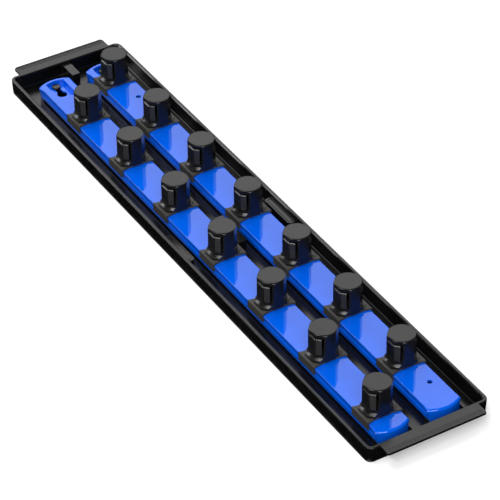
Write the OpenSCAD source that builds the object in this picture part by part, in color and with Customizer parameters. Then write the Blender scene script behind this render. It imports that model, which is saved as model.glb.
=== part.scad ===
// Drawer tray for sockets: a shallow moulded tray with two rails, each carrying sliding twist-lock posts.
// X runs along the tray, Y across it and Z up. The origin is the middle of the tray's underside.
// The front row is the one at -Y. The far end is the one at -X, where the rails hang on their studs.

/* [Tray] */
// Length over the two end flanges
tray_l = 482.6; // [420:0.1:560]
// Width over the rim
tray_w = 88.4; // [87.5:0.1:130]
// Height of the rim above the underside
tray_h = 11.6; // [11:0.1:18]
// Thickness of the floor
floor_t = 1.6; // [1:0.1:2.2]
// Thickness of the walls
wall_t = 2.6; // [1.8:0.1:2.8]
// How far each wall leans in between the rim and the underside
wall_draft = 0.4; // [0:0.1:1.2]
// Radius of the upright corners
corner_r = 5; // [4:0.1:9]
// Rounding of the rim's outer edge
rim_round = 0.8; // [0.3:0.1:1]
// Chamfer of the rim's inner edge
rim_chamfer = 0.6; // [0.2:0.1:1]
// Rounding of the edge round the underside
base_round = 0.8; // [0.4:0.1:2]
// Fillet between the floor and the walls inside
floor_fillet = 0.9; // [0.3:0.1:1.2]

/* [End flanges] */
// How far each end flange stands out from its wall
flange_d = 8.9; // [5:0.1:14]
// Width of the end flanges
flange_w = 71.4; // [40:0.1:74]
// Thickness of the end flanges
flange_t = 1.5; // [1:0.1:3]
// Radius of the flanges' outer corners
flange_r = 1.4; // [0.5:0.1:4]
// Width of the fine ridge along a flange's outer edge
ridge_w = 0.8; // [0.4:0.1:1.5]
// Height of that ridge
ridge_h = 0.35; // [0.2:0.05:0.8]
// Number of finer ridges inside it
fine_ridges = 3; // [0:1:4]
// Width of a finer ridge
fine_ridge_w = 0.4; // [0.2:0.1:0.6]
// Height of the finer ridges
fine_ridge_h = 0.15; // [0.1:0.05:0.3]
// Distance from one ridge to the next
ridge_pitch = 1.2; // [0.8:0.1:1.6]

/* [Blocks and ribs inside the tray] */
// Length of the stop block on the far wall, between the rails
stop_l = 15.4; // [8:0.1:22]
// Width of the stop block
stop_w = 6; // [3:0.1:8]
// Height of the stop block above the underside
stop_top = 9.4; // [5:0.1:10.5]
// Length of the three blocks halfway along the tray
mid_block_l = 31.4; // [15:0.1:60]
// How far the two blocks at the side walls stand out from them
side_block_d = 5.7; // [3:0.1:6]
// Width of the block between the rails
centre_block_w = 7; // [4:0.1:9]
// Height of the three blocks above the underside
mid_block_top = 8.4; // [5:0.1:10.5]
// Place of the three blocks along the tray
mid_block_x = -1.2; // [-40:0.1:40]
// Depth of the obround groove in the top of the side blocks
block_recess_h = 0.4; // [0.2:0.1:1]
// Thickness of the low ribs beside the rails' near ends
end_rib_t = 0.9; // [0.6:0.1:1.4]
// Height of those ribs above the underside
end_rib_top = 4.4; // [3:0.1:6]
// Gap between a rib and the rail's foot flange
end_rib_gap = 0.5; // [0.3:0.1:1]
// Gap between the ribs' far ends and the end of the foot flange
end_rib_setback = 0.3; // [0.2:0.1:2]

/* [Rails] */
// Distance between the two rails' centre lines
rail_pitch = 37.7; // [33:0.1:38]
// Height of the rails' top above the underside of the tray
rail_top = 10.6; // [10.2:0.1:12]
// Width of a rail over its lips
rail_w = 23; // [21:0.1:25]
// How much wider the rail's end is than its lips, as a stop for the clips
rail_flare = 1.6; // [0.8:0.1:2.4]
// Length over which the lips widen to that stop
rail_flare_l = 7; // [3:0.1:9]
// How far the rounded ends bulge
rail_end_bulge = 4; // [2:0.1:5]
// Rounding of the top edge at a rail's near end
near_end_round = 2; // [0.5:0.1:2]
// Rounding of the top edge at a rail's far end
far_end_round = 0.8; // [0.3:0.1:1.2]
// Rounding of the top edges along the widened stops
flare_round = 1.4; // [1.2:0.1:2]
// Free length between the far wall and the rails, where they slide to come off the studs
rail_far_gap = 14.2; // [12:0.1:20]
// Free length between the near wall and the rails
rail_near_gap = 5.8; // [3:0.1:10]
// Gap between a rail and the tray's floor
rail_foot_gap = 0.1; // [0.05:0.05:0.2]
// Thickness of a rail's lips
lip_t = 2.6; // [2:0.1:3]
// Thickness of a rail's top plate over its hollow
top_plate_t = 1.5; // [1:0.1:2]
// Depth of the groove under the lips
groove_d = 1.5; // [1:0.1:1.8]
// Height of that groove
groove_h = 1.6; // [1.4:0.1:2]
// How far the foot flange stands out past the lips
foot_out = 0.3; // [0:0.1:0.6]
// Thickness of the foot flange
foot_t = 3; // [2:0.1:3.4]
// Thickness of a rail's side walls
rail_wall_t = 2; // [1.4:0.1:2.6]
// Thickness of a rail's closed ends
end_wall_t = 3.5; // [2:0.1:4]
// Distance from the far end's corner to the foot flange
foot_far_setback = 3.5; // [2:0.1:6]
// Distance from the near end's corner to the foot flange
foot_near_setback = 2; // [1:0.1:6]
// How much narrower the blocks under the rounded ends are than the lips
end_block_in = 0.4; // [0.2:0.1:1]
// Radius of the two small screw holes in a rail's top plate
screw_hole_r = 1.8; // [1:0.1:2.4]
// Distance of the screw holes from the rail's centre line
screw_hole_y = 4; // [0:0.1:5]
// Distance of the far screw hole from the rail's far end
screw_hole_far = 51; // [40:0.1:60]
// Distance of the near screw hole from the rail's near end
screw_hole_near = 25.5; // [20:0.1:30]

/* [Studs and keyholes] */
// Distance of the far stud from the rail's far end
stud_inset = 6; // [5.5:0.1:9]
// Radius of a stud's neck
stud_neck_r = 1.9; // [1.4:0.1:2.2]
// Radius of a stud's head
stud_head_r = 3.1; // [2.8:0.1:3.3]
// Thickness of a stud's head
stud_head_t = 1.4; // [1:0.1:1.8]
// Chamfer round a stud's head
stud_chamfer = 0.4; // [0.2:0.1:0.6]
// How far a rail slides to bring its keyhole over the stud's head
unlock_travel = 9; // [7:0.1:10]
// Clearance round a stud's neck and head in the keyhole
keyhole_gap = 0.3; // [0.2:0.05:0.5]
// Gap between a stud's head and the plate that it holds down
stud_lift = 0.2; // [0.1:0.05:0.3]
// Thickness of the plate that the keyhole is cut in
key_plate_t = 1.4; // [1:0.1:1.8]
// Depth of the pocket above the far keyhole
pocket_depth = 3.6; // [3.2:0.1:4.2]
// Width of that pocket
pocket_w = 14; // [10:0.1:15]
// Pocket left beyond the wide end of its keyhole
pocket_past_hole = 6; // [3:0.1:10]
// Wall left between the pocket and the rail's rounded end
pocket_lip = 2.3; // [1.5:0.1:3]
// Distance of the near stud from the rail's near end
near_stud_inset = 22; // [20:0.1:30]
// How far the near stud's head lies below the top of the foot flange
near_stud_drop = 0.4; // [0.3:0.1:1]
// How far the near keyhole's plate reaches past its stud
near_plate_reach = 6; // [4:0.1:10]

/* [Clips] */
// Number of clips on each rail
clips_per_rail = 7; // [2:1:9]
// Distance of the rear row's first clip from its rail's far end
row_far_margin = 24.3; // [22:0.1:40]
// Distance of the front row's last clip from its rail's near end
row_near_margin = 20.9; // [20:0.1:40]
// How far the front row is shifted along from the rear row
row_stagger = 30.1; // [0:0.1:40]
// Length of a clip's saddle along the rail
saddle_l = 18; // [17:0.1:20]
// Thickness of the saddle over the rail
saddle_t = 1.3; // [1:0.1:2]
// How far the saddle's two ends are hollowed inwards, as arcs seen from above
saddle_end_dip = 1.6; // [0.6:0.1:2.4]
// Running gap between a clip and its rail
clip_gap = 0.15; // [0.1:0.01:0.2]
// Thickness of the arms that wrap round the rail's lips
arm_t = 0.85; // [0.6:0.05:1]

/* [Posts] */
// Size of the octagonal post across its flats, to fit a 3/4 inch (19.05 mm) square drive
post_af = 17.6; // [17:0.1:18.8]
// Height of the post above the saddle
post_h = 21.2; // [20:0.1:28]
// Thickness of the post's hollow wall
post_wall = 2.4; // [2:0.1:3]
// Height of the solid head at the top of the post
head_h = 2.2; // [1.6:0.1:4]
// How far the hollow of the post reaches up into its head
head_hollow_h = 0.4; // [0.2:0.1:0.8]
// Rounding of the head's top edge at its corners
head_round = 1.6; // [0.8:0.1:2]
// Height of the locking groove under the head
lock_groove_h = 1.6; // [1:0.1:2.4]
// Depth of the locking groove
lock_groove_d = 1.1; // [0.6:0.1:1.4]
// How far the groove stops short of the post's corners
lock_groove_end = 0.5; // [0.3:0.1:1]
// Lead-in chamfer under the locking groove and on top of the tongues
groove_lead = 0.6; // [0.2:0.1:0.8]
// How far the foot collar stands out round the post
collar_out = 1.8; // [1:0.1:2.4]
// Height of the collar's upright edge above the saddle
collar_h = 1.7; // [0.8:0.1:2.2]
// Height of the collar's slope above that edge
collar_slope_h = 1.8; // [0.8:0.1:2]

/* [Spring tongues] */
// Direction that the tongues face, from the X axis
tongue_angle = -45; // [-180:45:180]
// Width of a tongue
tongue_w = 3.7; // [2.5:0.1:4.2]
// Offset of a tongue from the middle of its flat
tongue_off = -0.95; // [-1.2:0.05:-0.4]
// Thickness of a tongue
tongue_t = 1.4; // [1:0.1:1.8]
// Gap at the sides of a tongue
tongue_gap = 0.2; // [0.15:0.05:0.3]
// How far a tongue's top lies below the groove's floor
tongue_drop = 0.1; // [0:0.05:0.4]
// Gap under a tongue's round heel
heel_gap = 0.12; // [0.1:0.01:0.2]
// Width of the open slot beside a tongue
tongue_slot = 1.7; // [1:0.1:2]
// Height of the window's sill above the saddle
window_sill = 4.9; // [4.5:0.1:7]

/* [Hidden] */
tiny = 0.01;
arc_steps = 4;

// Tray
body_l = tray_l - 2 * flange_d;
inner_half_l = body_l / 2 - wall_t;
inner_half_w = tray_w / 2 - wall_t;
embed = 1;
obround_inset = 1.4;
obround_groove = 0.7;
obround_corner = 0.4;
block_round = 2.4;
centre_block_round = 1.4;

// Rails, from their two ends inwards
rail_far_x = -inner_half_l + rail_far_gap;
rail_near_x = inner_half_l - rail_near_gap;
rail_l = rail_near_x - rail_far_x;
rail_bottom = floor_t + rail_foot_gap;
rail_end_w = rail_w + rail_flare;
round_margin = 0.05;
end_arc_r = (pow(rail_end_w / 2, 2) + pow(rail_end_bulge, 2)) / (2 * rail_end_bulge);
flare_far_x = rail_far_x + rail_end_bulge + rail_flare_l;
flare_near_x = rail_near_x - rail_end_bulge - rail_flare_l;
lip_under = rail_top - lip_t;
groove_w = rail_w - 2 * groove_d;
foot_top = lip_under - groove_h;
foot_bottom = max(foot_top - foot_t, rail_bottom);
foot_w = rail_w + 2 * foot_out;
foot_far_x = rail_far_x + rail_end_bulge + foot_far_setback;
foot_near_x = rail_near_x - rail_end_bulge - foot_near_setback;
end_block_w = rail_w - end_block_in;
hollow_w = groove_w - 2 * rail_wall_t;
hollow_roof = rail_top - top_plate_t;

// Studs and keyholes
stud_x = rail_far_x + stud_inset;
near_stud_x = rail_near_x - near_stud_inset;
pocket_floor = rail_top - pocket_depth;
pocket_near_x = stud_x + unlock_travel + stud_head_r + keyhole_gap + pocket_past_hole;
stud_head_z = pocket_floor + stud_lift;
near_plate_top = foot_top - near_stud_drop - stud_head_t - stud_lift;
slot_r = stud_neck_r + keyhole_gap;
keyhole_r = stud_head_r + 2 * keyhole_gap;
slot_end_gap = 0.3;

// Clips
saddle_bottom = rail_top + clip_gap;
saddle_top = saddle_bottom + saddle_t;
arm_inner_w = rail_w + 2 * clip_gap;
arm_outer_w = arm_inner_w + 2 * arm_t;
arm_bottom = foot_top + clip_gap;
hook_top = lip_under - clip_gap;
hook_inner_w = groove_w + 2 * clip_gap;
saddle_arc_r = (pow(arm_outer_w / 2, 2) + pow(saddle_end_dip, 2)) / (2 * saddle_end_dip);
rear_first_x = rail_far_x + row_far_margin;
front_first_x = rear_first_x + row_stagger;
clip_pitch = (rail_l - row_far_margin - row_near_margin - row_stagger) / (clips_per_rail - 1);

// Posts
post_top = saddle_top + post_h;
head_bottom = post_top - head_h;
lock_groove_bottom = head_bottom - lock_groove_h;
post_r = post_af / 2 / cos(22.5);
core_af = post_af - 2 * post_wall;
collar_ledge = 0.3;
hollow_top = head_bottom + head_hollow_h;
window_bottom = saddle_top + window_sill;
window_top = lock_groove_bottom + lock_groove_h / 2;

// Tongues, in the frame of the flat that they stand in
tongue_face = post_af / 2;
tongue_low_y = tongue_off - tongue_w / 2;
heel_r = tongue_t / 2;
heel_z = window_bottom + heel_gap + heel_r;
tongue_top = lock_groove_bottom - tongue_drop;

tray_black = [0.09, 0.09, 0.09];
rail_blue = [0.0, 0.3, 0.9];
clip_black = [0.12, 0.12, 0.12];

function front_x(i) = front_first_x + (i - 1) * clip_pitch;
function rear_x(i) = rear_first_x + (i - 1) * clip_pitch;
function clip_name(row, i) = str("clip_", row, "_", i);
function tongue_name(row, i) = str("tongue_", row, "_", i);

clip_numbers = [for (i = [1:clips_per_rail]) i];

// ---- shared shapes ----

// A flat rectangle with round corners, centred
module rounded_rect(l, w, r) {
    square([l - 2 * r, w], center = true);
    square([l, w - 2 * r], center = true);
    for (x = [-1, 1], y = [-1, 1])
        translate([x * (l / 2 - r), y * (w / 2 - r)])
            circle(r = r, $fn = 32);
}

// A bar between two points of the X axis, centred on it
module bar(x0, x1, w, z0, z1) {
    translate([x0, -w / 2, z0])
        cube([x1 - x0, w, z1 - z0]);
}

// Half of an upright section whose top corner is rounded
module round_top_section(half_w, edge, z0, z1) {
    translate([0, z0])
        square([half_w - edge, z1 - z0]);
    translate([0, z0])
        square([half_w, z1 - edge - z0]);
    translate([half_w - edge, z1 - edge])
        circle(r = edge, $fn = 48);
}

// An octagonal prism with flats facing X and Y, sized across its flats
module octagon(af, z0, z1) {
    translate([0, 0, z0])
        rotate([0, 0, 22.5])
            cylinder(h = z1 - z0, r = af / 2 / cos(22.5), $fn = 8);
}

// ---- tray ----

// One thin level of the tray's block, drawn in from the rim's outline
module tray_level(z, inset, outer_inset) {
    r = max(corner_r - outer_inset, 1);
    translate([0, 0, z])
        linear_extrude(tiny)
            rounded_rect(body_l - 2 * inset, tray_w - 2 * inset, r);
}

// The tray's outside, with its draft and its two rounded edges
module tray_block() {
    hull() {
        for (k = [0:arc_steps]) {
            a = 90 * k / arc_steps;
            base_in = wall_draft + base_round * (1 - sin(a));
            rim_in = rim_round * (1 - cos(a));
            tray_level(base_round * (1 - cos(a)), base_in, base_in);
            tray_level(tray_h - tiny - rim_round * (1 - sin(a)), rim_in, rim_in);
        }
    }
}

// The hollow of the tray, drafted like its outside, with a fillet round its floor
module tray_hollow() {
    low = wall_t + wall_draft;
    lean = wall_draft / (tray_h - floor_t - floor_fillet);
    high = wall_t - lean * embed;
    hull() {
        for (k = [0:arc_steps - 1]) {
            a = 90 * k / arc_steps;
            fillet_in = low + floor_fillet * (1 - sin(a));
            tray_level(floor_t + floor_fillet * (1 - cos(a)), fillet_in, fillet_in);
        }
        tray_level(floor_t + floor_fillet, low, low);
        tray_level(tray_h + embed, high, high);
    }
}

// The chamfer round the rim's inner edge
module rim_bevel() {
    low = wall_t + embed;
    high = wall_t - rim_chamfer - embed;
    hull() {
        tray_level(tray_h - rim_chamfer - embed, low, low);
        tray_level(tray_h + embed, high, high);
    }
}

// A shelf at rim height beyond each end wall, with ridges along its edge
module end_flange() {
    reach = flange_d + wall_t / 2;
    x0 = body_l / 2 - wall_t / 2;
    translate([x0, 0, tray_h - flange_t])
        linear_extrude(flange_t)
            intersection() {
                rounded_rect(2 * reach, flange_w, flange_r);
                translate([0, -flange_w / 2])
                    square([reach, flange_w]);
            }
    ridge_x = tray_l / 2 - ridge_w;
    flange_ridge(ridge_x, ridge_w, ridge_h);
    for (k = [1:1:fine_ridges])
        flange_ridge(ridge_x - k * ridge_pitch, fine_ridge_w, fine_ridge_h);
}

// One ridge across a flange, rooted a little way down in it
module flange_ridge(x, w, h) {
    root = embed / 2;
    l = flange_w - 2 * flange_r;
    translate([x, -l / 2, tray_h - root])
        cube([w, l, root + h]);
}

// The stop block in the middle of the far wall
module stop_block() {
    bar(-inner_half_l - embed, -inner_half_l + stop_l, stop_w, embed, stop_top);
}

// A block halfway along one side wall, with round inner corners and an obround groove in its top
module side_block() {
    d = side_block_d + embed;
    y = inner_half_w + embed - d / 2;
    outer_l = mid_block_l - 2 * obround_inset;
    outer_w = side_block_d - obround_inset;
    inner_l = outer_l - 2 * obround_groove;
    inner_w = outer_w - 2 * obround_groove;
    translate([mid_block_x, y, 0])
        difference() {
            translate([0, 0, embed])
                linear_extrude(mid_block_top - embed)
                    rounded_rect(mid_block_l, d, block_round);
            translate([0, -embed / 2, mid_block_top - block_recess_h])
                linear_extrude(block_recess_h + embed)
                    difference() {
                        rounded_rect(outer_l, outer_w, outer_w * obround_corner);
                        rounded_rect(inner_l, inner_w, inner_w * obround_corner);
                    }
        }
}

// The block between the rails, in line with the two at the walls
module centre_block() {
    translate([mid_block_x, 0, embed])
        linear_extrude(mid_block_top - embed)
            rounded_rect(mid_block_l, centre_block_w, centre_block_round);
}

// Low ribs on the floor at both sides of each rail's near end
module end_ribs() {
    y = foot_w / 2 + end_rib_gap + end_rib_t / 2;
    for (rail = [-1, 1], side = [-1, 1])
        translate([0, rail * rail_pitch / 2 + side * y, 0])
            bar(foot_near_x + end_rib_setback, inner_half_l + embed, end_rib_t, embed, end_rib_top);
}

// A headed stud that holds a rail down
module stud(x, head_z) {
    translate([x, 0, 0]) {
        translate([0, 0, embed])
            cylinder(h = head_z + embed / 2 - embed, r = stud_neck_r, $fn = 48);
        translate([0, 0, head_z])
            cylinder(h = stud_head_t - stud_chamfer, r = stud_head_r, $fn = 48);
        translate([0, 0, head_z + stud_head_t - stud_chamfer])
            cylinder(h = stud_chamfer, r1 = stud_head_r, r2 = stud_head_r - stud_chamfer, $fn = 48);
    }
}

module tray() {
    color(tray_black) {
        difference() {
            union() {
                tray_block();
                for (side = [0, 1])
                    mirror([side, 0, 0])
                        end_flange();
            }
            tray_hollow();
            rim_bevel();
        }
        stop_block();
        for (side = [0, 1])
            mirror([0, side, 0])
                side_block();
        centre_block();
        end_ribs();
        for (rail = [-1, 1])
            translate([0, rail * rail_pitch / 2, 0]) {
                stud(stud_x, stud_head_z);
                stud(near_stud_x, near_plate_top + stud_lift);
            }
    }
}

// ---- rails ----

// The rounded end of a rail seen from above, its tip at the origin and pointing to +X
module rail_end_2d(w, depth, r) {
    intersection() {
        translate([-r, 0])
            circle(r = r, $fn = 180);
        translate([-depth, -w / 2])
            square([depth, w]);
    }
}

// The lips' outline: straight sides that widen just before the rounded ends
module lip_outline() {
    half = rail_w / 2;
    half_end = rail_end_w / 2;
    far_corner_x = rail_far_x + rail_end_bulge;
    near_corner_x = rail_near_x - rail_end_bulge;
    polygon([
        [far_corner_x, -half_end], [flare_far_x, -half], [flare_near_x, -half], [near_corner_x, -half_end],
        [near_corner_x, half_end], [flare_near_x, half], [flare_far_x, half], [far_corner_x, half_end],
    ]);
    translate([rail_near_x, 0])
        rail_end_2d(rail_end_w, rail_end_bulge + tiny, end_arc_r);
    translate([rail_far_x, 0])
        mirror([1, 0])
            rail_end_2d(rail_end_w, rail_end_bulge + tiny, end_arc_r);
}

// The space under the rounded top edges of the two ends
module end_rounding() {
    r = end_arc_r + round_margin;
    z0 = lip_under - embed;
    near_centre_x = rail_near_x - end_arc_r;
    far_centre_x = rail_far_x + end_arc_r;
    translate([near_centre_x, 0, 0])
        rotate_extrude($fn = 180)
            round_top_section(r, near_end_round, z0, rail_top);
    translate([far_centre_x, 0, 0])
        rotate_extrude($fn = 180)
            round_top_section(r, far_end_round, z0, rail_top);
    bar(far_centre_x, near_centre_x, 2 * r, z0, rail_top);
}

// The space under the rounded top edges of the two sides
module side_rounding() {
    half_w = rail_end_w / 2 + round_margin;
    translate([rail_far_x - embed, 0, 0])
        rotate([90, 0, 90])
            linear_extrude(rail_l + 2 * embed)
                for (side = [0, 1])
                    mirror([side, 0])
                        round_top_section(half_w, flare_round, lip_under - embed, rail_top);
}

// The lips and the top plate, in one
module lips() {
    intersection() {
        translate([0, 0, lip_under])
            linear_extrude(lip_t)
                lip_outline();
        end_rounding();
        side_rounding();
    }
}

// The closed blocks under both ends of the lips
module rail_end_blocks() {
    near_depth = rail_near_x - foot_near_x;
    far_depth = foot_far_x - rail_far_x;
    translate([0, 0, rail_bottom])
        linear_extrude(lip_under - rail_bottom + tiny) {
            translate([rail_near_x, 0])
                rail_end_2d(end_block_w, near_depth, end_arc_r);
            translate([rail_far_x, 0])
                mirror([1, 0])
                    rail_end_2d(end_block_w, far_depth, end_arc_r);
        }
}

// A keyhole through a plate: a narrow end at x that holds the stud, and a wide end that its head goes through
module keyhole(x, z0, z1) {
    wide_x = x + unlock_travel;
    h = z1 - z0;
    translate([x - slot_end_gap, 0, z0])
        cylinder(h = h, r = slot_r, $fn = 48);
    translate([wide_x, 0, z0])
        cylinder(h = h, r = keyhole_r, $fn = 48);
    bar(x - slot_end_gap, wide_x, 2 * slot_r, z0, z1);
}

// The pocket that is open at the top, above the far keyhole
module far_pocket() {
    arc_r = end_arc_r - pocket_lip;
    far_x = rail_far_x + pocket_lip;
    translate([far_x, 0, pocket_floor])
        linear_extrude(pocket_depth + embed)
            mirror([1, 0])
                rail_end_2d(pocket_w, pocket_near_x - far_x, max(arc_r, pocket_w));
}

// Plates inside the rail that carry the keyholes
module key_plates() {
    w = hollow_w + embed;
    far_plate = pocket_floor - key_plate_t;
    near_plate = near_plate_top - key_plate_t;
    bar(rail_far_x + end_wall_t - embed, pocket_near_x + key_plate_t, w, far_plate, hollow_roof + tiny);
    bar(near_stud_x - near_plate_reach, rail_near_x - end_wall_t, w, near_plate, near_plate_top);
}

module rail_hollow() {
    bar(rail_far_x + end_wall_t, rail_near_x - end_wall_t, hollow_w, rail_bottom - embed, hollow_roof);
}

module screw_holes() {
    for (x = [rail_far_x + screw_hole_far, rail_near_x - screw_hole_near])
        translate([x, screw_hole_y, lip_under - embed])
            cylinder(h = lip_t + 2 * embed, r = screw_hole_r, $fn = 48);
}

module rail() {
    color(rail_blue)
        difference() {
            union() {
                difference() {
                    union() {
                        lips();
                        bar(foot_far_x - tiny, foot_near_x + tiny, groove_w, rail_bottom, lip_under + tiny);
                        bar(foot_far_x, foot_near_x, foot_w, foot_bottom, foot_top);
                        rail_end_blocks();
                    }
                    rail_hollow();
                }
                key_plates();
            }
            far_pocket();
            keyhole(stud_x, pocket_floor - key_plate_t - embed, pocket_floor + embed);
            keyhole(near_stud_x, near_plate_top - key_plate_t - embed, near_plate_top + embed);
            screw_holes();
        }
}

module rail_front() {
    translate([0, -rail_pitch / 2, 0])
        rail();
}

module rail_rear() {
    translate([0, rail_pitch / 2, 0])
        rail();
}

// ---- clips ----

// The space between the arcs that hollow the saddle's two ends
module saddle_length(z0, z1) {
    half_l = saddle_l / 2;
    reach = half_l - saddle_end_dip + saddle_arc_r;
    difference() {
        bar(-half_l, half_l, arm_outer_w, z0, z1);
        for (side = [-1, 1])
            translate([side * reach, 0, z0 - embed])
                cylinder(h = z1 - z0 + 2 * embed, r = saddle_arc_r, $fn = 180);
    }
}

// The plate over the rail and the hooked arms round its lips
module saddle() {
    half_l = saddle_l / 2;
    saddle_length(saddle_bottom, saddle_top);
    for (side = [0, 1])
        mirror([0, side, 0]) {
            translate([-half_l, arm_inner_w / 2, arm_bottom])
                cube([saddle_l, arm_t, saddle_top - arm_bottom]);
            translate([-half_l, hook_inner_w / 2, arm_bottom])
                cube([saddle_l, (arm_outer_w - hook_inner_w) / 2, hook_top - arm_bottom]);
        }
}

// The collar round the post's foot and its slope, cut off at the saddle's ends
module collar() {
    edge_top = saddle_top + collar_h;
    intersection() {
        union() {
            octagon(post_af + 2 * collar_out, saddle_top - tiny, edge_top);
            translate([0, 0, edge_top - tiny])
                cylinder(
                    h = collar_slope_h,
                    r1 = post_af / 2 + collar_out - collar_ledge,
                    r2 = post_af / 2 - collar_ledge,
                    $fn = 96
                );
        }
        saddle_length(saddle_bottom, post_top);
    }
}

// The octagonal post, its head turned to a rounded top edge
module post() {
    intersection() {
        octagon(post_af, saddle_top - tiny, post_top);
        rotate_extrude($fn = 96)
            round_top_section(post_r + round_margin, head_round, saddle_bottom, post_top);
    }
}

// The groove under the head, on the tongue's flat and the next one, with a lead-in below it
module lock_groove() {
    reach = post_af;
    groove_x = post_r * cos(45) + lock_groove_end * cos(67.5);
    lowest = lock_groove_bottom - groove_lead - embed;
    intersection() {
        rotate([0, 0, tongue_angle - 22.5])
            translate([groove_x, -reach, lowest])
                cube([reach, 2 * reach, head_bottom - lowest]);
        union() {
            difference() {
                octagon(post_af + 2 * embed, lock_groove_bottom, head_bottom + embed);
                octagon(post_af - 2 * lock_groove_d, lock_groove_bottom - embed, head_bottom + 2 * embed);
            }
            for (turn = [0, 45])
                rotate([0, 0, tongue_angle - turn])
                    lead_in();
        }
    }
}

// The 45 degree cut below the groove on one flat
module lead_in() {
    overlap = groove_lead / 2;
    high = lock_groove_bottom + overlap;
    low = lock_groove_bottom - groove_lead - embed;
    inner = post_af / 2 - groove_lead - overlap;
    outer = post_af / 2 + embed;
    translate([0, post_af, 0])
        rotate([90, 0, 0])
            linear_extrude(2 * post_af)
                polygon([[inner, high], [outer, low], [outer, high]]);
}

// The window that the tongue stands in, open into the hollow post
module tongue_window() {
    rotate([0, 0, tongue_angle])
        translate([core_af / 2 - embed, tongue_low_y - tongue_gap, window_bottom])
            cube([post_af / 2, tongue_w + tongue_gap + tongue_slot, window_top - window_bottom]);
}

module clip() {
    color(clip_black) {
        saddle();
        difference() {
            union() {
                collar();
                post();
            }
            octagon(core_af, saddle_bottom - embed, hollow_top);
            lock_groove();
            tongue_window();
        }
    }
}

// The spring tongue in the window, turning on a round heel at its foot, with the lead-in across its top
module tongue() {
    lead_z = lock_groove_bottom - groove_lead;
    lead_x = heel_r - groove_lead + tongue_drop;
    color(clip_black)
        rotate([0, 0, tongue_angle])
            translate([tongue_face - heel_r, tongue_low_y, 0]) {
                translate([0, 0, heel_z])
                    rotate([-90, 0, 0])
                        cylinder(h = tongue_w, r = heel_r, $fn = 48);
                translate([0, tongue_w, 0])
                    rotate([90, 0, 0])
                        linear_extrude(tongue_w)
                            polygon([
                                [-heel_r, heel_z], [heel_r, heel_z], [heel_r, lead_z],
                                [lead_x, tongue_top], [-heel_r, tongue_top],
                            ]);
            }
}

// Places of the clips on the front and the rear rail
module on_front(i) {
    translate([front_x(i), -rail_pitch / 2, 0])
        children();
}

module on_rear(i) {
    translate([rear_x(i), rail_pitch / 2, 0])
        children();
}

tray();
rail_front();
rail_rear();
for (i = clip_numbers) {
    on_front(i) clip();
    on_rear(i) clip();
    on_front(i) tongue();
    on_rear(i) tongue();
}
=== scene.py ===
"""Looks of the socket tray: its materials, rounded edges, studio and camera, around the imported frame."""
import math
from collections import namedtuple

import bpy
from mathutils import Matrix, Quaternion, Vector


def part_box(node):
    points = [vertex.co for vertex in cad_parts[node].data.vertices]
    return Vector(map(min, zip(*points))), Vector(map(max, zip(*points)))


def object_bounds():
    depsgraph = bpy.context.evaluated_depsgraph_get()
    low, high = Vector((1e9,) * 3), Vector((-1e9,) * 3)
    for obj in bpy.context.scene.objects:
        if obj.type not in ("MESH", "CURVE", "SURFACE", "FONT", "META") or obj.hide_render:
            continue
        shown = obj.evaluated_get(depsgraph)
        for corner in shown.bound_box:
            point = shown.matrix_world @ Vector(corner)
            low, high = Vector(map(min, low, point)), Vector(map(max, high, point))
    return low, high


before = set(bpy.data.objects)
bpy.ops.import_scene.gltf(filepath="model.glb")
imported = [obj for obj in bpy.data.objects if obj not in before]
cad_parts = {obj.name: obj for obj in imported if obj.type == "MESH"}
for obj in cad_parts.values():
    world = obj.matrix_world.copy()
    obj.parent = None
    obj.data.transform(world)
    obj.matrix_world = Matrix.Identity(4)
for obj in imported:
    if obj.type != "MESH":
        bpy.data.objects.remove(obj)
cad_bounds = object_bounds()
rail_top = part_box("rail_front")[1].z

Finish = namedtuple("Finish", "base mottled roughness grain")
Plastic = namedtuple("Plastic", "low high split worn specular grain grain_scale")
Softbox = namedtuple("Softbox", "azimuth elevation distance width height radiance")


def grey(level):
    return (level, level, level)


# Lengths and places are in metres.

# ---- camera: the sensor's width is in millimetres, the focal length in the picture's pixels ----

IMAGE_SIZE = 500
FOCAL_PIXELS = 2715.8
SENSOR_WIDTH = 36.0
CAMERA_POSITION = Vector((1.2285, -0.7202, 1.0950))
CAMERA_TARGET = Vector((0.0269, -0.0017, 0.0100))
CAMERA_ROLL = -0.0117
VIEW_REACH = 50.0

# ---- studio ----

FLOOR_SIZE = 12.0
FLOOR_COLOUR = grey(0.8)
# How white the floor glows near the tray; from WHITE_FROM to WHITE_FULL away it rises to plain white.
FLOOR_WHITE = 0.26
WHITE_FROM = 0.4
WHITE_FULL = 1.6

CARD_COLOUR = grey(0.004)
CARD_REACH = 0.12
CARD_TUCK = 0.009
CARD_LIFT = 0.0005

ROOM_COLOUR = grey(1.0)
ROOM_LEVEL = 0.06

SOFTBOX_AIM = Vector((0.0, 0.0, 0.02))
# Azimuths are from +X towards +Y, in degrees, as the elevations are.
SOFTBOXES = {
    "far_softbox": Softbox(153, 42, 1.6, 3.0, 1.1, 2.0),
    "front_softbox": Softbox(-22, 40, 2.0, 1.2, 1.1, 6.0),
    "glint_softbox": Softbox(-60, 50, 1.5, 0.55, 0.25, 15.0),
    "left_softbox": Softbox(211, 20, 1.6, 0.8, 0.46, 6.5),
    "top_softbox": Softbox(250, 72, 1.5, 0.45, 0.45, 8.0),
}

# ---- edges ----

EDGE_ROUND = {"tray": 0.00035, "rail": 0.0009, "clip": 0.0003, "tongue": 0.0002}
EDGE_ANGLE = math.radians(28)
EDGE_STEPS = 3
WELD_DISTANCE = 0.000002
FLAT_ANGLE = math.radians(0.6)
FLAT_SHADING_WEIGHT = 80

# ---- surface detail: scales are in cycles per metre ----

MOTTLE_SCALE = 60.0
MOTTLE_DETAIL = 5.0
MOTTLE_RANGE = (0.35, 0.75)

# Painted edge highlight: how wide and how finely sampled the paler band along the edges is.
EDGE_HIGHLIGHT_RADIUS = 0.0006
EDGE_HIGHLIGHT_SAMPLES = 6
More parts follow.
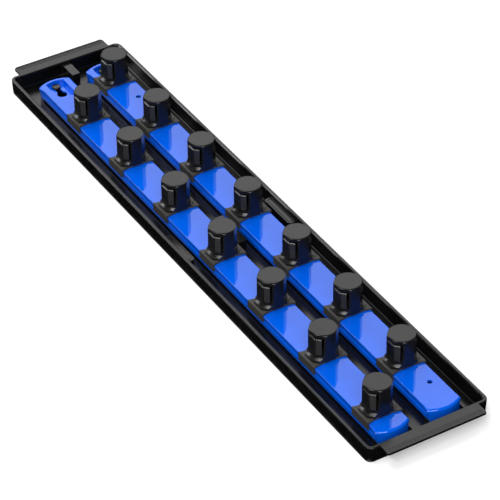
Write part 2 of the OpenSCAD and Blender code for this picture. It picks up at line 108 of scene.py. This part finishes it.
# How far the rounded normal agrees with the flat one where the painted edge highlight starts, and where it
# is full.
EDGE_HIGHLIGHT_START = 0.995
EDGE_HIGHLIGHT_FULL = 0.9
PATCH_SCALE = 350.0
PATCH_RANGE = (0.35, 0.65)
PATCH_LEAST = 0.3

GLOSS_SCALE = 22.0
GLOSS_RANGE = (0.3, 0.7)
GLOSS_SPREAD = 0.14

SCUFF_SCALE = 1500.0
SCUFF_STRETCH = 0.03
SCUFF_TURNS = (0.35, -0.9)
SCUFF_RANGE = (0.64, 0.72)
SCUFF_GLOSS = 1.25

FINE_DETAIL = 2.0
ROUGH_DETAIL = 0.6
GRAIN_STRENGTH = 0.6
SPLIT_BLEND = 0.0004

# ---- plastics ----

TRAY_INSIDE = Finish(grey(0.002), grey(0.004), 0.21, 0.25)
TRAY_RIM = Finish(grey(0.002), grey(0.005), 0.24, 1.0)
# The saddle is the clip's black plastic, rougher and grained, but painted lighter and warm grey: painted
# light for its lit tops, which the post partly shades.
SADDLE_PAINTED_LIGHTER = Finish((0.044, 0.042, 0.038), (0.054, 0.051, 0.046), 0.60, 1.0)
POST = Finish(grey(0.006), grey(0.009), 0.26, 0.6)
# The tongue is the clip's black plastic painted lighter: painted light for the light falling on its face.
TONGUE_PAINTED_LIGHTER = Finish(grey(0.028), grey(0.036), 0.26, 0.6)
RAIL = Finish((0.0, 0.104, 0.73), (0.0, 0.116, 0.78), 0.045, 1.0)

# Painted edge highlights: the paler colours the edges get, standing in for light they catch.
BLACK_EDGE_HIGHLIGHT = grey(0.03)
TONGUE_EDGE_HIGHLIGHT = grey(0.05)
RAIL_EDGE_HIGHLIGHT = (0.01, 0.16, 0.9)

COARSE_GRAIN = 0.00003
COARSE_GRAIN_SCALE = 2400.0
FINE_GRAIN = 0.000006
FINE_GRAIN_SCALE = 1400.0

# Heights where the finish changes: below the rim's edge, and just over the saddles' tops, where the clip's
# painted lighter saddle colour ends.
UNDERSIDE = 0.0
RIM_FOOT = rail_top + 0.0004
SADDLE_TOP = rail_top + 0.0015

PLASTICS = {
    "tray": Plastic(TRAY_INSIDE, TRAY_RIM, RIM_FOOT, BLACK_EDGE_HIGHLIGHT, 0.38, COARSE_GRAIN, COARSE_GRAIN_SCALE),
    "rail": Plastic(RAIL, RAIL, UNDERSIDE, RAIL_EDGE_HIGHLIGHT, 0.5, FINE_GRAIN, FINE_GRAIN_SCALE),
    "clip": Plastic(SADDLE_PAINTED_LIGHTER, POST, SADDLE_TOP, BLACK_EDGE_HIGHLIGHT, 0.36, COARSE_GRAIN, COARSE_GRAIN_SCALE),
    "tongue": Plastic(TONGUE_PAINTED_LIGHTER, TONGUE_PAINTED_LIGHTER, UNDERSIDE, TONGUE_EDGE_HIGHLIGHT, 0.5, COARSE_GRAIN, COARSE_GRAIN_SCALE),
}


# ---- node helpers ----

class Shader:
    """A material's node tree, with short calls to add and join nodes."""

    def __init__(self, name):
        self.material = bpy.data.materials.new(name)
        self.material.use_nodes = True
        self.tree = self.material.node_tree
        self.bsdf = self.tree.nodes["Principled BSDF"]

    def node(self, kind, **settings):
        made = self.tree.nodes.new(kind)
        for key, value in settings.items():
            setattr(made, key, value)
        return made

    def join(self, source, target):
        self.tree.links.new(source, target)

    def object_coords(self, stretch=(1.0, 1.0, 1.0), turn=0.0):
        coords = self.node("ShaderNodeTexCoord")
        mapping = self.node("ShaderNodeMapping")
        mapping.inputs["Scale"].default_value = stretch
        mapping.inputs["Rotation"].default_value = (0.0, 0.0, turn)
        self.join(coords.outputs["Object"], mapping.inputs["Vector"])
        return mapping.outputs["Vector"]

    def noise(self, scale, detail=3.0, roughness=0.5, stretch=(1.0, 1.0, 1.0), turn=0.0):
        made = self.node("ShaderNodeTexNoise")
        made.inputs["Scale"].default_value = scale
        made.inputs["Detail"].default_value = detail
        made.inputs["Roughness"].default_value = roughness
        self.join(self.object_coords(stretch, turn), made.inputs["Vector"])
        return made.outputs["Fac"]

    def height(self):
        """Height above the tray's underside."""
        split = self.node("ShaderNodeSeparateXYZ")
        self.join(self.object_coords(), split.inputs["Vector"])
        return split.outputs["Z"]

    def math(self, operation, a, b):
        made = self.node("ShaderNodeMath", operation=operation)
        for value, socket in zip((a, b), made.inputs):
            if isinstance(value, float):
                socket.default_value = value
            else:
                self.join(value, socket)
        return made.outputs["Value"]

    def ramp(self, value, low, high, a, b):
        """From a to b as the value goes from low to high, and level beyond them."""
        made = self.node("ShaderNodeMapRange")
        made.inputs["From Min"].default_value = low
        made.inputs["From Max"].default_value = high
        made.inputs["To Min"].default_value = a
        made.inputs["To Max"].default_value = b
        self.join(value, made.inputs["Value"])
        return made.outputs["Result"]

    def mix(self, factor, a, b):
        """A colour between a and b, each of them a colour or a socket."""
        made = self.node("ShaderNodeMix", data_type="RGBA")
        for value, socket in ((a, made.inputs["A"]), (b, made.inputs["B"])):
            if isinstance(value, tuple):
                socket.default_value = (*value, 1.0)
            else:
                self.join(value, socket)
        self.join(factor, made.inputs["Factor"])
        return made.outputs["Result"]

    def edges(self, radius):
        """1 along the edges, fading to 0 at about the radius from them."""
        bevel = self.node("ShaderNodeBevel", samples=EDGE_HIGHLIGHT_SAMPLES)
        bevel.inputs["Radius"].default_value = radius
        geometry = self.node("ShaderNodeNewGeometry")
        dot = self.node("ShaderNodeVectorMath", operation="DOT_PRODUCT")
        self.join(bevel.outputs["Normal"], dot.inputs[0])
        self.join(geometry.outputs["Normal"], dot.inputs[1])
        return self.ramp(dot.outputs["Value"], EDGE_HIGHLIGHT_START, EDGE_HIGHLIGHT_FULL, 0.0, 1.0)

    def scratches(self, turn):
        """Fine straight scuffs in one direction, 1 on a scuff and 0 beside it."""
        lines = self.noise(SCUFF_SCALE, FINE_DETAIL, ROUGH_DETAIL, (SCUFF_STRETCH, 1.0, 1.0), turn)
        return self.ramp(lines, *SCUFF_RANGE, 0.0, 1.0)

    def bump(self, height, distance, strength):
        made = self.node("ShaderNodeBump")
        made.inputs["Strength"].default_value = strength
        made.inputs["Distance"].default_value = distance
        self.join(height, made.inputs["Height"])
        self.join(made.outputs["Normal"], self.bsdf.inputs["Normal"])


# ---- plastic materials ----

def colour_and_edge_highlight(s, plastic, upper):
    """The mottled colour of each finish, with a painted highlight that makes it paler in patches along the
    edges.
    """
    mottle = s.ramp(s.noise(MOTTLE_SCALE, MOTTLE_DETAIL, ROUGH_DETAIL), *MOTTLE_RANGE, 0.0, 1.0)
    base = s.mix(upper, plastic.low.base, plastic.high.base)
    mottled = s.mix(upper, plastic.low.mottled, plastic.high.mottled)
    patchy = s.ramp(s.noise(PATCH_SCALE, roughness=ROUGH_DETAIL), *PATCH_RANGE, PATCH_LEAST, 1.0)
    # Painted highlight: the edges are made paler, in patches.
    edge_highlight_mask = s.math("MULTIPLY", s.edges(EDGE_HIGHLIGHT_RADIUS), patchy)
    return s.mix(edge_highlight_mask, s.mix(mottle, base, mottled), plastic.worn)


def uneven_roughness(s, plastic, upper):
    """The roughness of each finish, with duller and glossier areas and fine scuffs."""
    roughness = s.ramp(upper, 0.0, 1.0, plastic.low.roughness, plastic.high.roughness)
    uneven = s.ramp(s.noise(GLOSS_SCALE), *GLOSS_RANGE, 1.0 - GLOSS_SPREAD, 1.0 + GLOSS_SPREAD)
    scuffs = s.math("MAXIMUM", *(s.scratches(turn) for turn in SCUFF_TURNS))
    scuffed = s.math("MULTIPLY", uneven, s.ramp(scuffs, 0.0, 1.0, 1.0, SCUFF_GLOSS))
    return s.math("MULTIPLY", roughness, scuffed)


def moulded_plastic(kind, plastic):
    """A moulded plastic that has the finish `low` below the height `split` and `high` above it."""
    s = Shader(f"{kind}_plastic")
    upper = s.ramp(s.height(), plastic.split, plastic.split + SPLIT_BLEND, 0.0, 1.0)
    s.join(colour_and_edge_highlight(s, plastic, upper), s.bsdf.inputs["Base Color"])
    s.join(uneven_roughness(s, plastic, upper), s.bsdf.inputs["Roughness"])
    s.bsdf.inputs["Specular IOR Level"].default_value = plastic.specular
    depth = s.ramp(upper, 0.0, 1.0, plastic.low.grain, plastic.high.grain)
    grain = s.math("MULTIPLY", s.noise(plastic.grain_scale, FINE_DETAIL), depth)
    s.bump(grain, plastic.grain, GRAIN_STRENGTH)
    return s.material


# ---- the CAD nodes: their materials and their rounded edges ----

def round_edges(obj, width):
    """Modifiers that merge each flat face into one, round its edges and shade it flat."""
    weld = obj.modifiers.new("weld", "WELD")
    weld.merge_threshold = WELD_DISTANCE
    flat = obj.modifiers.new("flat_faces", "DECIMATE")
    flat.decimate_type = "DISSOLVE"
    flat.angle_limit = FLAT_ANGLE
    bevel = obj.modifiers.new("rounded_edges", "BEVEL")
    bevel.width = width
    bevel.segments = EDGE_STEPS
    bevel.limit_method = "ANGLE"
    bevel.angle_limit = EDGE_ANGLE
    bevel.use_clamp_overlap = True
    shading = obj.modifiers.new("flat_shading", "WEIGHTED_NORMAL")
    shading.mode = "FACE_AREA"
    shading.weight = FLAT_SHADING_WEIGHT


def dress(obj, material, edge_width):
    obj.data.materials.clear()
    obj.data.materials.append(material)
    for polygon in obj.data.polygons:
        polygon.use_smooth = True
    round_edges(obj, edge_width)


def dress_nodes():
    """A node's kind is the first word of its name."""
    materials = {kind: moulded_plastic(kind, plastic) for kind, plastic in PLASTICS.items()}
    for name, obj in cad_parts.items():
        kind = name.split("_")[0]
        dress(obj, materials[kind], EDGE_ROUND[kind])


# ---- floor, lights and world ----

def floor_material():
    """White for what the camera sees and what gloss reflects, with the object's soft shadow on it."""
    s = Shader("studio_floor")
    s.tree.nodes.remove(s.bsdf)
    diffuse = s.node("ShaderNodeBsdfDiffuse")
    diffuse.inputs["Color"].default_value = (*FLOOR_COLOUR, 1.0)
    white = s.node("ShaderNodeEmission")
    rays = s.node("ShaderNodeLightPath")
    away = s.node("ShaderNodeVectorMath", operation="LENGTH")
    s.join(s.object_coords(), away.inputs[0])
    level = s.ramp(away.outputs["Value"], WHITE_FROM, WHITE_FULL, FLOOR_WHITE, 1.0)
    seen = s.math("MULTIPLY", rays.outputs["Is Camera Ray"], level)
    mirrored = s.math("MULTIPLY", rays.outputs["Is Glossy Ray"], FLOOR_WHITE)
    s.join(s.math("ADD", seen, mirrored), white.inputs["Strength"])
    both = s.node("ShaderNodeAddShader")
    s.join(diffuse.outputs[0], both.inputs[0])
    s.join(white.outputs[0], both.inputs[1])
    s.join(both.outputs[0], s.tree.nodes["Material Output"].inputs["Surface"])
    return s.material


def card_material():
    s = Shader("black_card")
    s.bsdf.inputs["Base Color"].default_value = (*CARD_COLOUR, 1.0)
    s.bsdf.inputs["Roughness"].default_value = 1.0
    s.bsdf.inputs["Specular IOR Level"].default_value = 0.0
    return s.material


def sheet(name, corners, z, material):
    """A flat stage rectangle at height z, between two corners given as x0, y0, x1, y1."""
    x0, y0, x1, y1 = corners
    mesh = bpy.data.meshes.new(name)
    mesh.from_pydata([(x0, y0, z), (x1, y0, z), (x1, y1, z), (x0, y1, z)], [], [(0, 1, 2, 3)])
    obj = bpy.data.objects.new(name, mesh)
    bpy.context.scene.collection.objects.link(obj)
    mesh.materials.append(material)
    return obj


def make_floor():
    half = FLOOR_SIZE / 2
    sheet("studio_floor", (-half, -half, half, half), 0.0, floor_material())


def make_cards():
    """Black cards on the floor round the tray, which only its gloss sees: they keep its walls black."""
    low, high = cad_bounds
    x0 = low[0] + CARD_TUCK
    x1 = high[0] - CARD_TUCK
    y0 = low[1]
    y1 = high[1]
    reach = CARD_REACH
    places = {
        "card_front": (x0 - reach, y0 - reach, x1 + reach, y0),
        "card_rear": (x0 - reach, y1, x1 + reach, y1 + reach),
        "card_far": (x0 - reach, y0, x0, y1),
        "card_near": (x1, y0, x1 + reach, y1),
    }
    material = card_material()
    for name, corners in places.items():
        card = sheet(name, corners, CARD_LIFT, material)
        card.visible_camera = False
        card.visible_diffuse = False
        card.visible_shadow = False


def make_softbox(name, box):
    """A rectangular lamp that faces the tray."""
    azimuth = math.radians(box.azimuth)
    elevation = math.radians(box.elevation)
    level = math.cos(elevation)
    away = Vector((math.cos(azimuth) * level, math.sin(azimuth) * level, math.sin(elevation)))
    lamp = bpy.data.lights.new(name, "AREA")
    lamp.shape = "RECTANGLE"
    lamp.size = box.width
    lamp.size_y = box.height
    lamp.energy = box.radiance * box.width * box.height * math.pi
    obj = bpy.data.objects.new(name, lamp)
    obj.location = SOFTBOX_AIM + away * box.distance
    obj.rotation_euler = away.to_track_quat("Z", "Y").to_euler()
    obj.visible_camera = False
    bpy.context.scene.collection.objects.link(obj)


def make_world():
    """White to the camera, and a faint even light on the object."""
    world = bpy.data.worlds.new("studio_world")
    bpy.context.scene.world = world
    world.use_nodes = True
    tree = world.node_tree
    background = tree.nodes["Background"]
    background.inputs["Color"].default_value = (*ROOM_COLOUR, 1.0)
    rays = tree.nodes.new("ShaderNodeLightPath")
    level = tree.nodes.new("ShaderNodeMapRange")
    level.inputs["To Min"].default_value = ROOM_LEVEL
    level.inputs["To Max"].default_value = 1.0
    tree.links.new(rays.outputs["Is Camera Ray"], level.inputs["Value"])
    tree.links.new(level.outputs["Result"], background.inputs["Strength"])


# ---- camera ----

def make_camera():
    data = bpy.data.cameras.new("camera")
    data.sensor_width = SENSOR_WIDTH
    data.lens = SENSOR_WIDTH * FOCAL_PIXELS / IMAGE_SIZE
    data.clip_end = VIEW_REACH
    camera = bpy.data.objects.new("camera", data)
    look = (CAMERA_TARGET - CAMERA_POSITION).to_track_quat("-Z", "Y")
    roll = Quaternion((0.0, 0.0, 1.0), CAMERA_ROLL)
    camera.rotation_mode = "QUATERNION"
    camera.location = CAMERA_POSITION
    camera.rotation_quaternion = look @ roll
    bpy.context.scene.collection.objects.link(camera)
    bpy.context.scene.camera = camera


# ---- the scene ----

dress_nodes()
make_floor()
make_cards()
make_world()
for softbox_name, softbox in SOFTBOXES.items():
    make_softbox(softbox_name, softbox)
make_camera()
bpy.context.scene.view_settings.view_transform = "Standard"
